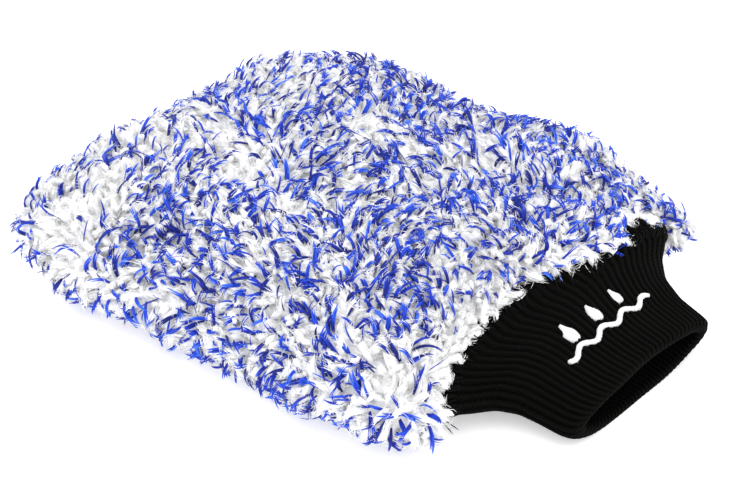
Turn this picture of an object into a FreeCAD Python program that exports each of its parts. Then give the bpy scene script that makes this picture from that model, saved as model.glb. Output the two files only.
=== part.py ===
"""Wash mitt: a double-sided plush pad with a hand pocket and a folded rib-knit wrist cuff.

Millimetres. +X points out of the cuff's mouth, +Y across the pad, +Z up.
The origin is the middle of the whole object's footprint, on the surface that it lies on.
"""

import FreeCAD, Part
import math
import os

V = FreeCAD.Vector

# Overall size
LENGTH = 276.0  # closed end of the pad to the cuff's mouth
WIDTH = 220.0  # across the plush pad
PILE_TOP = 50.0  # crown of the upper plush
MID_PLANE = 20.0  # height of the seam that joins the two faces of the pad

# Plush pad
PAD_LENGTH = 252.0
PAD_CORNER = 52.0
PILE_OVERHANG = 18.0  # plush that stands out past the sewn edge
TOP_ROUND = 26.0
BOTTOM_ROUND = 12.0
NOTCH_HALF_WIDTH = 80.0  # the cuff leaves the pad through this notch in the plush
SEAM_CHANNEL = 1.6  # room round the sewn edge for its stitches

# Sewn layers, from the outside in, round the hand pocket
SHELL_HALF_HEIGHT = 10.0
SHELL_CORNER = 34.0
KNIT_THICKNESS = 1.0
FOAM_THICKNESS = 3.0
LINING_THICKNESS = 0.8
LAYER_GAP = 0.2
POCKET_MOUTH_HALF_WIDTH = 70.0

# Blue tufts
TUFT_RADIUS = 1.6
TUFT_STAND = 2.0
TUFT_ROOT = 1.0
TUFT_PITCH = 24.0
TUFT_COLUMNS = 8
TUFT_ROWS = 6

# Stitches
THREAD_RADIUS = 0.5
SHELL_STITCH_LENGTH = 6.0
SHELL_STITCH_PITCH = 7.0
LINING_STITCH_LENGTH = 3.0
LINING_STITCH_PITCH = 9.0
CUFF_STITCH_COUNT = 64
CUFF_STITCH_LENGTH = 0.9

# Rib cuff: sections along X as (x, y centre, half width, z centre, half height)
CUFF_SECTIONS = [
    (92.1, 4.0, 74.5, 19.0, 8.8),
    (98.0, 6.0, 66.5, 17.4, 10.4),
    (104.0, 7.0, 58.5, 15.8, 11.4),
    (112.0, 6.0, 52.5, 13.4, 11.8),
    (122.0, 4.5, 50.0, 11.6, 10.7),
    (132.0, 1.2, 47.2, 10.8, 10.0),
    (136.0, -0.5, 45.5, 10.6, 9.8),
]
CUFF_TILT = 4.0  # degrees: the cuff's -Y side lies lower
PLY_THICKNESS = 1.9
PLY_GAP = 0.2
FLEX_X = 104.0  # the flared root bends; from here to the mouth the tube moves as one
FLEX_GAP = 0.2
FOLD_ANGLES = (0, 25, 50, 70, 85)  # the ply turns back on itself at the mouth in a round fold

# Embroidery on the cuff's upper side, in its own axes: u along the mouth, v towards it
MOTIF_CENTRE = (112.5, 3.5)
MOTIF_THICKNESS = 0.9
MOTIF_CLEARANCE = 0.15
DROPLETS = [(-16.0, -1.6, 3.2), (0.0, -1.6, 2.8), (14.5, -1.6, 2.4)]  # u, v, radius
DROPLET_POINT = 2.0  # distance of the tip from the centre, in radii
WAVE_LENGTH = 56.0
WAVE_CRESTS = 4
WAVE_HEIGHT = 1.4
WAVE_STROKE = 2.2
WAVE_OFFSET = 5.2

X_CLOSED = -LENGTH / 2
X_MOUTH = LENGTH / 2
X_PAD_END = X_CLOSED + PAD_LENGTH
X_SHELL_END = CUFF_SECTIONS[0][0] - CUFF_STITCH_LENGTH - LAYER_GAP
FAR = 500.0


def block(x0, x1, y0, y1, z0, z1):
    return Part.makeBox(x1 - x0, y1 - y0, z1 - z0, V(x0, y0, z0))


def rounded_plate(x0, x1, half_width, corners, z0, z1):
    """A plate with round corners; corners holds the radii at the closed end and at the cuff end."""
    r0, r1 = corners
    points = []
    for x, y, r, start in (
        (x1 - r1, half_width - r1, r1, 0),
        (x0 + r0, half_width - r0, r0, 90),
        (x0 + r0, r0 - half_width, r0, 180),
        (x1 - r1, r1 - half_width, r1, 270),
    ):
        arc = []
        for step in (0, 45, 90):
            angle = math.radians(start + step)
            arc.append(V(x + r * math.cos(angle), y + r * math.sin(angle), z0))
        points.append(arc)
    edges = []
    for index, arc in enumerate(points):
        edges.append(Part.Arc(*arc).toShape())
        following = points[(index + 1) % len(points)][0]
        edges.append(Part.LineSegment(arc[2], following).toShape())
    return Part.Face(Part.Wire(edges)).extrude(V(0, 0, z1 - z0))


def flat_rim(shape, z):
    """The edges of shape that lie in the plane at height z."""
    return [e for e in shape.Edges if abs(e.BoundBox.ZMin - z) < 1e-3 and abs(e.BoundBox.ZMax - z) < 1e-3]


def shell_block(inset):
    """The sewn pad's outline, inset evenly, as a solid on both sides of the mid plane."""
    height = SHELL_HALF_HEIGHT - inset
    corner = SHELL_CORNER - inset
    x0 = X_CLOSED + PILE_OVERHANG + inset
    half_width = WIDTH / 2 - PILE_OVERHANG - inset
    z0 = MID_PLANE - height
    z1 = MID_PLANE + height
    return rounded_plate(x0, X_SHELL_END - inset, half_width, (corner, corner), z0, z1)


def pocket_mouth():
    inset = KNIT_THICKNESS + FOAM_THICKNESS + LINING_THICKNESS + 2 * LAYER_GAP
    half_height = SHELL_HALF_HEIGHT - inset
    return block(
        X_SHELL_END - 4 * inset,
        FAR,
        -POCKET_MOUTH_HALF_WIDTH,
        POCKET_MOUTH_HALF_WIDTH,
        MID_PLANE - half_height,
        MID_PLANE + half_height,
    )


def upper(shape):
    return shape.common(block(-FAR, FAR, -FAR, FAR, MID_PLANE + LAYER_GAP / 2, FAR))


def lower(shape):
    return shape.common(block(-FAR, FAR, -FAR, FAR, -FAR, MID_PLANE - LAYER_GAP / 2))


def layer(inset, thickness):
    """One sewn layer of the pad, open at the pocket's mouth, as its (upper, lower) halves."""
    skin = shell_block(inset).cut(shell_block(inset + thickness)).cut(pocket_mouth())
    return upper(skin), lower(skin)


def pile_halves():
    corners = (PAD_CORNER, PAD_CORNER)
    top = rounded_plate(X_CLOSED, X_PAD_END, WIDTH / 2, corners, MID_PLANE + LAYER_GAP / 2, PILE_TOP)
    top = top.makeFillet(TOP_ROUND, flat_rim(top, PILE_TOP))
    bottom = rounded_plate(X_CLOSED, X_PAD_END, WIDTH / 2, corners, 0, MID_PLANE - LAYER_GAP / 2)
    bottom = bottom.makeFillet(BOTTOM_ROUND, flat_rim(bottom, 0))
    room = shell_block(-LAYER_GAP)
    channel = shell_block(-SEAM_CHANNEL)
    half = SHELL_STITCH_LENGTH / 2 + LAYER_GAP
    channel = channel.common(block(-FAR, FAR, -FAR, FAR, MID_PLANE - half, MID_PLANE + half))
    notch = block(X_SHELL_END, FAR, -NOTCH_HALF_WIDTH, NOTCH_HALF_WIDTH, -1, FAR)
    halves = []
    for half_pile in (top, bottom):
        halves.append(half_pile.cut(room).cut(channel).cut(notch))
    return halves


def upright_thread(x, y, z, length, radius):
    return Part.makeCylinder(radius, length, V(x, y, z))


def round_path(x0, x1, half_width, corner, pitch):
    """Evenly spaced points round three closed sides, as (x, y), from the cuff end and back to it."""
    straight = x1 - x0 - corner
    side = 2 * (half_width - corner)
    quarter = math.pi * corner / 2
    total = 2 * straight + 2 * quarter + side
    count = int(total / pitch)
    points = []
    for index in range(count + 1):
        s = total * index / count
        mirrored = s > total / 2
        s = total - s if mirrored else s
        if s < straight:
            x, y = x1 - s, half_width
        elif s < straight + quarter:
            angle = (s - straight) / corner
            x = x0 + corner - corner * math.sin(angle)
            y = half_width - corner + corner * math.cos(angle)
        else:
            x, y = x0, half_width - corner - (s - straight - quarter)
        points.append((x, -y if mirrored else y))
    return points


def edge_stitches(inset, length, pitch):
    """Upright threads that close the edge of a sewn layer all round but at the cuff."""
    x0 = X_CLOSED + PILE_OVERHANG + inset
    half_width = WIDTH / 2 - PILE_OVERHANG - inset
    x1 = X_SHELL_END - SHELL_CORNER
    solids = []
    for x, y in round_path(x0, x1, half_width, SHELL_CORNER - inset, pitch):
        solids.append(upright_thread(x, y, MID_PLANE - length / 2, length, THREAD_RADIUS))
    return Part.makeCompound(solids)


def tuft_grid():
    """Tuft places as (x, y) about the pad's middle, every second row shifted by half a pitch."""
    middle = (X_CLOSED + X_PAD_END) / 2
    places = []
    for row in range(TUFT_ROWS):
        shift = (row % 2 - 0.5) * TUFT_PITCH / 2
        for column in range(TUFT_COLUMNS):
            x = middle + (column - (TUFT_COLUMNS - 1) / 2) * TUFT_PITCH + shift
            y = (row - (TUFT_ROWS - 1) / 2) * TUFT_PITCH
            places.append((x, y))
    return places


def tufts(z, height):
    return [upright_thread(x, y, z, height, TUFT_RADIUS) for x, y in tuft_grid()]


def oval(x, section, inset):
    """A section of the cuff at x, inset evenly, as a wire across X."""
    y, half_width, z, half_height = section
    upright = FreeCAD.Rotation(V(1, 1, 1), 120)  # turns X to Y, Y to Z and Z to X
    tilted = FreeCAD.Rotation(V(1, 0, 0), CUFF_TILT) * upright
    ellipse = Part.Ellipse(V(0, 0, 0), half_width - inset, half_height - inset).toShape()
    ellipse.Placement = FreeCAD.Placement(V(x, y, z), tilted)
    return Part.Wire(ellipse)


def cuff_skin(inset):
    """The cuff's tube as a solid whose outside lies inset inside the outer surface."""
    wires = [oval(x, section, inset) for x, *section in CUFF_SECTIONS]
    return Part.makeLoft(wires, True, False)


def mouth_fold():
    """The round fold that joins the two plies at the mouth."""
    radius = PLY_THICKNESS + PLY_GAP / 2
    start = X_MOUTH - radius
    section = CUFF_SECTIONS[-1][1:]
    outside = []
    inside = []
    for degrees in FOLD_ANGLES:
        angle = math.radians(degrees)
        x = start + radius * math.sin(angle)
        outside.append(oval(x, section, radius - radius * math.cos(angle)))
        inside.append(oval(x, section, radius + radius * math.cos(angle)))
    return Part.makeLoft(outside, True, False).cut(Part.makeLoft(inside, True, False))


def between(shape, x0, x1):
    return shape.common(block(x0, x1, -FAR, FAR, -FAR, FAR))


def plies():
    """The four pieces of the doubled rib knit: (flare outer, flare inner, tube outer, tube inner)."""
    outer = cuff_skin(0)
    outer_back = cuff_skin(PLY_THICKNESS)
    inner = cuff_skin(PLY_THICKNESS + PLY_GAP)
    bore = cuff_skin(2 * PLY_THICKNESS + PLY_GAP)
    outer_ply = outer.cut(outer_back)
    inner_ply = inner.cut(bore)
    flex_low = FLEX_X - FLEX_GAP / 2
    flex_high = FLEX_X + FLEX_GAP / 2
    fold_start = CUFF_SECTIONS[-1][0]
    tube_outer = between(outer_ply, flex_high, fold_start).fuse(mouth_fold()).removeSplitter()
    tube_inner = between(inner_ply, flex_high, fold_start - PLY_GAP)
    return between(outer_ply, 0, flex_low), between(inner_ply, 0, flex_low), tube_outer, tube_inner


def cuff_stitches():
    """Short threads that join the shell's edge to the flare's root, all round the opening."""
    x, *section = CUFF_SECTIONS[0]
    root = oval(x - CUFF_STITCH_LENGTH - LAYER_GAP / 2, section, PLY_THICKNESS + PLY_GAP / 2)
    solids = []
    for place in root.discretize(Number=CUFF_STITCH_COUNT + 1)[:-1]:
        solids.append(Part.makeCylinder(THREAD_RADIUS, CUFF_STITCH_LENGTH, place, V(1, 0, 0)))
    return Part.makeCompound(solids)


def on_motif(u, v):
    """A point of the motif's own axes in the plane: u runs along Y, v along X to the mouth."""
    return V(MOTIF_CENTRE[0] + v, MOTIF_CENTRE[1] + u, 0)


def droplet_face(u, v, radius):
    """A round drop with a tip that points away from the mouth."""
    tip = on_motif(u, v - DROPLET_POINT * radius)
    touch = math.acos(1 / DROPLET_POINT)
    left = on_motif(u - radius * math.sin(touch), v - radius * math.cos(touch))
    right = on_motif(u + radius * math.sin(touch), v - radius * math.cos(touch))
    bottom = on_motif(u, v + radius)
    edges = [
        Part.LineSegment(tip, left).toShape(),
        Part.Arc(left, bottom, right).toShape(),
        Part.LineSegment(right, tip).toShape(),
    ]
    return Part.Face(Part.Wire(edges))


def wave_face():
    steps = 8 * WAVE_CRESTS
    far_side = []
    near_side = []
    for index in range(steps + 1):
        u = WAVE_LENGTH * (index / steps - 0.5)
        v = WAVE_OFFSET - WAVE_HEIGHT * math.cos(2 * math.pi * WAVE_CRESTS * index / steps)
        far_side.append(on_motif(u, v + WAVE_STROKE / 2))
        near_side.append(on_motif(u, v - WAVE_STROKE / 2))
    far_curve = Part.BSplineCurve()
    far_curve.interpolate(far_side)
    near_curve = Part.BSplineCurve()
    near_curve.interpolate(near_side)
    edges = [
        far_curve.toShape(),
        Part.LineSegment(far_side[-1], near_side[-1]).toShape(),
        near_curve.toShape(),
        Part.LineSegment(near_side[0], far_side[0]).toShape(),
    ]
    return Part.Face(Part.Wire(Part.__sortEdges__(edges)))


def embroidered(faces):
    """Raised thread in the shape of flat faces, lying on the cuff's upper side."""
    coat = cuff_skin(-MOTIF_THICKNESS - MOTIF_CLEARANCE).cut(cuff_skin(-MOTIF_CLEARANCE))
    solids = []
    for face in faces:
        column = face.copy()
        column.translate(V(0, 0, CUFF_SECTIONS[-1][3]))
        solids.extend(column.extrude(V(0, 0, FAR)).common(coat).Solids)
    return Part.makeCompound(solids)


def build():
    """Every node of the mitt, as name to shape."""
    nodes = {}
    top_pile, bottom_pile = pile_halves()
    top_tufts = tufts(PILE_TOP - TUFT_ROOT, TUFT_ROOT + TUFT_STAND)
    bottom_tufts = tufts(0, TUFT_ROOT)
    nodes["top_plush_pile"] = top_pile.cut(top_tufts)
    nodes["bottom_plush_pile"] = bottom_pile.cut(bottom_tufts)
    nodes["top_blue_tufts"] = Part.makeCompound(top_tufts)
    nodes["bottom_blue_tufts"] = Part.makeCompound(bottom_tufts)
    inset = 0.0
    for name, thickness in (
        ("backing_knit", KNIT_THICKNESS),
        ("foam_interlining", FOAM_THICKNESS),
        ("pocket_lining", LINING_THICKNESS),
    ):
        nodes["top_" + name], nodes["bottom_" + name] = layer(inset, thickness)
        inset += thickness + LAYER_GAP
    shell_inset = -THREAD_RADIUS - LAYER_GAP / 2
    nodes["shell_edge_stitches"] = edge_stitches(shell_inset, SHELL_STITCH_LENGTH, SHELL_STITCH_PITCH)
    lining_inset = inset + THREAD_RADIUS
    nodes["lining_edge_stitches"] = edge_stitches(lining_inset, LINING_STITCH_LENGTH, LINING_STITCH_PITCH)
    nodes["cuff_attachment_stitches"] = cuff_stitches()
    flare_outer, flare_inner, tube_outer, tube_inner = plies()
    nodes["cuff_flare_outer_ply"] = flare_outer
    nodes["cuff_flare_inner_ply"] = flare_inner
    nodes["wrist_cuff_outer_ply"] = tube_outer
    nodes["wrist_cuff_inner_ply"] = tube_inner
    nodes["embroidered_droplets"] = embroidered([droplet_face(*place) for place in DROPLETS])
    nodes["embroidered_wave"] = embroidered([wave_face()])
    return nodes


os.makedirs("parts", exist_ok=True)
for node, shape in build().items():
    shape.exportStep(f"parts/{node}.step")
    box = shape.BoundBox
    print(
        f"{node:26s} solids {len(shape.Solids):3d} valid {shape.isValid()} volume {shape.Volume:10.1f}"
        f"  x {box.XMin:7.1f} {box.XMax:7.1f}  y {box.YMin:7.1f} {box.YMax:7.1f}  z {box.ZMin:5.1f} {box.ZMax:5.1f}"
    )
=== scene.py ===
"""Looks of a double-sided plush wash mitt with a folded rib-knit cuff.

Lengths are in millimetres in the CAD model's frame, and become metres where a mesh is made.
+X points out of the cuff's mouth, +Y across the pad, +Z up.
All chance comes from one seeded generator, so the order in which the pieces are built matters.
"""

import math

import bpy
import numpy as np
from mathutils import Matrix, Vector
from mathutils.kdtree import KDTree


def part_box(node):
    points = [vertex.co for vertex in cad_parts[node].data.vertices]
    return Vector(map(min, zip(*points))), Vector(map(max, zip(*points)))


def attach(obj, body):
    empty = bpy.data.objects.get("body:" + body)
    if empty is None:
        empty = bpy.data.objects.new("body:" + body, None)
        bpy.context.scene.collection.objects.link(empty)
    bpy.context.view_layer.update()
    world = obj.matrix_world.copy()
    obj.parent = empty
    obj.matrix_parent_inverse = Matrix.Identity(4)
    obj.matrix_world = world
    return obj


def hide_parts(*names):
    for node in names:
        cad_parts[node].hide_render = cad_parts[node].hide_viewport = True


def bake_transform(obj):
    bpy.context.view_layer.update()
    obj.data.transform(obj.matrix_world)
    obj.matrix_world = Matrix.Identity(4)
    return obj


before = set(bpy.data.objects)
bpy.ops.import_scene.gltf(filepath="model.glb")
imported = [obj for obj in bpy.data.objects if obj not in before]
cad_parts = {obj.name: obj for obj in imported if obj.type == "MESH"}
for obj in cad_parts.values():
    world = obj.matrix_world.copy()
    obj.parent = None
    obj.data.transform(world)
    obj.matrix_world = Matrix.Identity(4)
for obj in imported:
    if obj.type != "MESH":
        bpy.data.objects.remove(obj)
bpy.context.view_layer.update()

MM = 0.001


def corner_mm(corner):
    return np.array(corner, float) / MM


TOP_LOW, TOP_HIGH = (corner_mm(c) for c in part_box("top_plush_pile"))
_, DROPS_HIGH = (corner_mm(c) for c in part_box("embroidered_droplets"))
WAVE_LOW, WAVE_HIGH = (corner_mm(c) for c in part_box("embroidered_wave"))

# Pad: the pile's envelope
PAD_HALF_LENGTH = 127.5
PAD_HALF_WIDTH = (TOP_HIGH[1] - TOP_LOW[1]) / 2 - 1.0
PAD_MIDDLE = TOP_LOW[0] - 2.0 + PAD_HALF_LENGTH  # along X
PAD_SQUARENESS = 5.2  # power of the plan outline's superellipse
EDGE_HEIGHT = 20.0  # of the pad's widest line
CROWN_HEIGHT = TOP_HIGH[2] - 2.5
CROWN_POWERS = (3.2, 2.2)  # how full the upper side is outwards and upwards
UNDERSIDE_POWER = 3
SAG = 0.25  # share of its height that the crown loses towards the cuff's +Y side
SAG_REACH = 90.0
SIDE_TAPER = 0.035  # share of its width that the +Y side loses towards the cuff
TAPER_REACH = 100.0
BOW_START = 20.0  # where along X the pad starts to be drawn in towards the cuff's seam
LUMPS = ((2.2, 70, 1), (1.3, 28, 2))  # (height, pitch, seed) of the envelope's unevenness
SEAM_LINE = np.array([  # (y, x) of the pile's edge over the cuff, from side to side
    (-112.0, 124.0), (-88.0, 112.0), (-80.0, 101.0), (-71.0, 93.5), (-52.0, 89.5), (-35.0, 86.0),
    (-13.0, 87.5), (5.0, 91.5), (23.0, 97.0), (46.0, 98.5), (60.0, 95.5), (74.0, 96.5), (84.0, 104.5),
    (112.0, 115.0),
])
HIGHEST_TIP = TOP_HIGH[2] + 10.0
LOWEST_FIBRE = 0.1
MOUTH_MIDDLE_Y = 3.0
MOUTH_HALF_WIDTH = 77.0  # of the pad's opening, where the cuff is sewn in
CORE_RINGS = 72
CORE_SEGMENTS = 220
UPPER_SHARE = 0.66  # of the rings, from the crown to a little under the pad's edge
ROOT_DEPTH = 8.0  # of the locks' roots below the envelope
GROUND_DEPTH = 4.2  # of the knitted ground below the envelope

# Cuff: sections along X as (x, y centre, half width, z centre, half height, tilt about X in degrees)
CUFF_SECTIONS = np.array([
    (72.0, 3.0, 72.0, 20.5, 11.5, 4.0),
    (84.0, 2.6, 76.0, 20.0, 11.0, 4.0),
    (92.0, 2.2, 77.0, 18.2, 10.4, 4.0),
    (98.0, 3.9, 70.0, 16.6, 11.0, 4.0),
    (104.0, 3.2, 58.6, 15.2, 11.8, 4.0),
    (112.0, 1.6, 51.2, 13.2, 12.0, 3.6),
    (122.0, 0.3, 48.3, 11.0, 10.9, 3.0),
    (132.0, -0.3, 47.6, 9.6, 10.4, 2.0),
    (136.0, -0.2, 46.8, 9.2, 10.2, 1.5),
    (139.0, -0.6, 44.6, 9.0, 10.0, 1.5),
])
CUFF_REACH = CUFF_SECTIONS[1, 0] - 8  # x from which fibres keep out of the cuff
CUFF_SMOOTHING = 13  # half-millimetre samples that smooth the sections along X
CUFF_ROUNDNESS = 0.88  # below 1 fills out the section's two sides
RIB_COUNT = 68
RIB_STEPS = 8
RIB_HEIGHT = 0.9
PLY_THICKNESS = 2.0
TIP_THICKNESS = 2.0  # how much thicker the folded knit is at the tube's two side edges
# How far the mouth's edge is drawn in, at places from the -Y side (-1) to the +Y side (1)
RIM_SETBACK = ((-1.0, -0.75, 0.0, 0.75, 1.0), (2.0, 1.1, 1.3, 0.6, -0.5))
BLEND_START_X = 90.0
BLEND_END_X = 106.0

rng = np.random.default_rng(20)


# ---- meshes and materials

def new_object(name, data):
    """An object in the scene."""
    made = bpy.data.objects.new(name, data)
    bpy.context.scene.collection.objects.link(made)
    return made


def mesh_piece(name, points, faces, materials, face_material=None, smooth=True):
    """A mesh object from points in millimetres; faces is an array or a list of arrays, one for each size."""
    groups = faces if isinstance(faces, list) else [faces]
    mesh = bpy.data.meshes.new(name)
    mesh.vertices.add(len(points))
    mesh.vertices.foreach_set("co", (np.asarray(points) * MM).astype(np.float32).ravel())
    corners = np.concatenate([g.ravel() for g in groups]).astype(np.int32)
    sizes = np.concatenate([np.full(len(g), g.shape[1]) for g in groups]).astype(np.int32)
    mesh.loops.add(len(corners))
    mesh.loops.foreach_set("vertex_index", corners)
    mesh.polygons.add(len(sizes))
    mesh.polygons.foreach_set("loop_start", np.concatenate([[0], np.cumsum(sizes)[:-1]]).astype(np.int32))
    mesh.polygons.foreach_set("use_smooth", np.full(len(sizes), smooth))
    if face_material is not None:
        mesh.polygons.foreach_set("material_index", np.asarray(face_material).astype(np.int32))
    for material in materials:
        mesh.materials.append(material)
    mesh.update(calc_edges=True)
    mesh.validate()
    return new_object(name, mesh)


def principled(name, color, roughness, **values):
    """A plain Principled material whose values sit on the shader's own sockets."""
    material = bpy.data.materials.new(name)
    material.use_nodes = True
    shader = material.node_tree.nodes["Principled BSDF"]
    shader.inputs["Base Color"].default_value = (*color, 1)
    shader.inputs["Roughness"].default_value = roughness
    for socket, value in values.items():
        shader.inputs[socket.replace("_", " ")].default_value = value
    return material


def add_node(tree, kind, inputs=None, **values):
    """Adds a shader node; inputs maps socket names or numbers to values or to other sockets."""
    made = tree.nodes.new(kind)
    for name, value in values.items():
        setattr(made, name, value)
    for name, value in (inputs or {}).items():
        if isinstance(value, bpy.types.NodeSocket):
            tree.links.new(value, made.inputs[name])
        else:
            made.inputs[name].default_value = value
    return made


def ramp(tree, value, low, high, low_color, high_color):
    """A colour, or a grey if a colour is one number, that goes from low to high with value."""
    made = add_node(tree, "ShaderNodeValToRGB", {"Fac": value})
    for element, place, color in zip(made.color_ramp.elements, (low, high), (low_color, high_color)):
        element.position = place
        element.color = (*np.broadcast_to(color, 3), 1)
    return made.outputs["Color"]


def maths(tree, operation, first, second=0.0):
    """The output of a Math node."""
    return add_node(tree, "ShaderNodeMath", {0: first, 1: second}, operation=operation).outputs[0]


def noise(tree, place, scale, detail):
    """The value of a Noise texture at place."""
    inputs = {"Vector": place, "Scale": scale, "Detail": detail}
    return add_node(tree, "ShaderNodeTexNoise", inputs).outputs["Fac"]


def surface(material, color, roughness, height, strength, depth):
    """Links colour, roughness and a bump of that strength and depth in metres to the material's shader."""
    tree = material.node_tree
    shader = tree.nodes["Principled BSDF"]
    tree.links.new(color, shader.inputs["Base Color"])
    tree.links.new(roughness, shader.inputs["Roughness"])
    bump = add_node(tree, "ShaderNodeBump", {"Height": height, "Strength": strength, "Distance": depth})
    tree.links.new(bump.outputs["Normal"], shader.inputs["Normal"])


def object_place(tree):
    return add_node(tree, "ShaderNodeTexCoord").outputs["Object"]


STITCH_LENGTH = 1.25  # along a rib
STITCH_SLANT = 1.3


def rib_knit():
    """Black 1x1 rib: V stitches up each ridge, with painted shade that darkens the grooves, a little fuzz."""
    material = principled("rib_knit_black", (0.003, 0.003, 0.0025), 0.9, Specular_IOR_Level=0.04)
    tree = material.node_tree
    uv = add_node(tree, "ShaderNodeUVMap", uv_map="ribs").outputs["UV"]
    place = add_node(tree, "ShaderNodeSeparateXYZ", {0: uv})
    within = maths(tree, "FRACT", place.outputs["Y"])
    centred = maths(tree, "ABSOLUTE", maths(tree, "SUBTRACT", within, 0.5))
    ridge = maths(tree, "SUBTRACT", 1.0, maths(tree, "MULTIPLY", centred, 2.0))
    row = maths(tree, "DIVIDE", place.outputs["X"], STITCH_LENGTH)
    stitch = maths(tree, "ADD", row, maths(tree, "MULTIPLY", centred, STITCH_SLANT))
    loops = maths(tree, "SINE", maths(tree, "MULTIPLY", stitch, 2 * math.pi))
    here = object_place(tree)
    fuzz = noise(tree, here, 1400.0, 3.0)
    wear = noise(tree, here, 60.0, 2.0)
    # Painted shade: the colour darkens in the rib grooves and the stitches' dips and lightens on the ridges;
    # the wear noise is a random tone.
    tone = maths(tree, "ADD", maths(tree, "MULTIPLY", ridge, 0.75), maths(tree, "MULTIPLY", wear, 0.35))
    tone = maths(tree, "ADD", tone, maths(tree, "MULTIPLY", loops, 0.10))
    color = ramp(tree, tone, 0.15, 1.15, (0.0004, 0.0004, 0.0003), (0.0036, 0.0034, 0.0030))
    roughness = ramp(tree, fuzz, 0.2, 0.8, 0.78, 1.0)
    height = maths(tree, "ADD", maths(tree, "MULTIPLY", loops, 0.55), maths(tree, "MULTIPLY", fuzz, 0.8))
    surface(material, color, roughness, height, 0.55, 0.0005)
    return material


def ground_knit():
    """White knitted ground of the pile, with fine loops."""
    material = principled("ground_knit_white", (0.8, 0.8, 0.79), 0.95)
    tree = material.node_tree
    here = object_place(tree)
    loops = add_node(tree, "ShaderNodeTexVoronoi", {"Vector": here, "Scale": 550.0}).outputs["Distance"]
    patches = noise(tree, here, 90.0, 3.0)
    color = ramp(tree, patches, 0.3, 0.7, (0.70, 0.71, 0.73), (0.84, 0.84, 0.83))
    roughness = ramp(tree, patches, 0.3, 0.7, 0.85, 1.0)
    surface(material, color, roughness, loops, 0.5, 0.0006)
    return material


def stripes(tree, place, scale, distortion, direction):
    """The value of a Wave texture's bands at place."""
    inputs = {"Vector": place, "Scale": scale, "Distortion": distortion, "Detail": 1.0}
    return add_node(tree, "ShaderNodeTexWave", inputs, bands_direction=direction).outputs["Fac"]


def lining_cloth():
    """Pale grey woven lining, with painted shade where the weave lies low."""
    material = principled("lining_weave_grey", (0.45, 0.46, 0.48), 0.75)
    tree = material.node_tree
    here = object_place(tree)
    height = maths(tree, "MAXIMUM", *(stripes(tree, here, 260.0, 0.4, direction) for direction in ("X", "Y")))
    # Painted shade: the colour darkens where the weave's height is low, between the threads.
    color = ramp(tree, height, 0.2, 1.0, (0.30, 0.31, 0.33), (0.50, 0.51, 0.53))
    roughness = ramp(tree, height, 0.0, 1.0, 0.85, 0.6)
    surface(material, color, roughness, height, 0.4, 0.0004)
    return material


def thread_material(name, groove_shade, light, roughness, sheen, gloss=0.5):
    """Twisted thread: slanted plies as fine bumps, with painted shade in the grooves between them."""
    material = principled(name, light, roughness, Sheen_Weight=sheen, Specular_IOR_Level=gloss)
    tree = material.node_tree
    twist = stripes(tree, object_place(tree), 700.0, 1.5, "DIAGONAL")
    # Painted shade: the colour follows the plies' bump and is darkest in the grooves between them.
    color = ramp(tree, twist, 0.1, 0.7, groove_shade, light)
    rough = ramp(tree, twist, 0.0, 1.0, roughness + 0.15, roughness)
    surface(material, color, rough, twist, 0.4, 0.0002)
    return material


def sewing_thread():
    # The darker black is the painted shade in the plies' grooves.
    return thread_material("sewing_thread_black", (0.0015,) * 3, (0.005,) * 3, 0.7, 0.0, 0.1)


# ---- shapes as formulas

def smoothstep(value):
    value = np.clip(value, 0, 1)
    return value * value * (3 - 2 * value)


USUAL_PEAK = 1.2  # of the noise before it is scaled to about 1


def waves(points, pitch, seed, terms=6):
    """Smooth noise in about -1 to 1 over points (..., 3); pitch is its rough wavelength."""
    source = np.random.default_rng(seed)
    directions = source.normal(size=(terms, 3))
    directions /= np.linalg.norm(directions, axis=1, keepdims=True)
    pitches = pitch * source.uniform(0.7, 1.5, terms)
    phases = source.uniform(0, 2 * math.pi, terms)
    total = 0
    for direction, length, phase in zip(directions, pitches, phases):
        total = total + np.sin(points @ direction * 2 * math.pi / length + phase)
    return total / math.sqrt(terms) / USUAL_PEAK


def unit(vectors):
    return vectors / np.maximum(np.linalg.norm(vectors, axis=-1, keepdims=True), 1e-9)


def along_lines(places, length, *lines):
    """Values of lines at places along them; length says how far along each sample lies."""
    return np.stack([np.interp(places, length, line) for line in lines], -1)


def travelled(steps):
    """How far along a line each of its samples lies, from the lengths of the steps between them."""
    return np.concatenate([[0], np.cumsum(steps)])


def bowed(points):
    """Draws the cuff end of the pad in to the seam line, and its +Y side in a little towards the cuff."""
    points = np.array(points, float)
    points[..., 1] -= SIDE_TAPER * points[..., 1].clip(0) * smoothstep(points[..., 0] / TAPER_REACH)
    y = points[..., 1]
    share = np.clip(1 - np.abs(y / PAD_HALF_WIDTH) ** PAD_SQUARENESS, 0, 1) ** (1 / PAD_SQUARENESS)
    pad_end = PAD_MIDDLE + PAD_HALF_LENGTH * share
    seam = np.interp(y, SEAM_LINE[:, 0], SEAM_LINE[:, 1])
    along = smoothstep((points[..., 0] - BOW_START) / (PAD_MIDDLE + PAD_HALF_LENGTH - BOW_START))
    points[..., 0] -= (pad_end - seam).clip(0) * along
    return points


def pad_outline(segments):
    """The pad's plan outline about its middle (segments, 2), with evenly spaced points."""
    turn = np.linspace(0, 2 * math.pi, 2881)
    power = 2 / PAD_SQUARENESS
    x = PAD_HALF_LENGTH * np.sign(np.cos(turn)) * np.abs(np.cos(turn)) ** power
    y = PAD_HALF_WIDTH * np.sign(np.sin(turn)) * np.abs(np.sin(turn)) ** power
    length = travelled(np.hypot(np.diff(x), np.diff(y)))
    return along_lines(np.linspace(0, length[-1], segments, endpoint=False), length, x, y)


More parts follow.
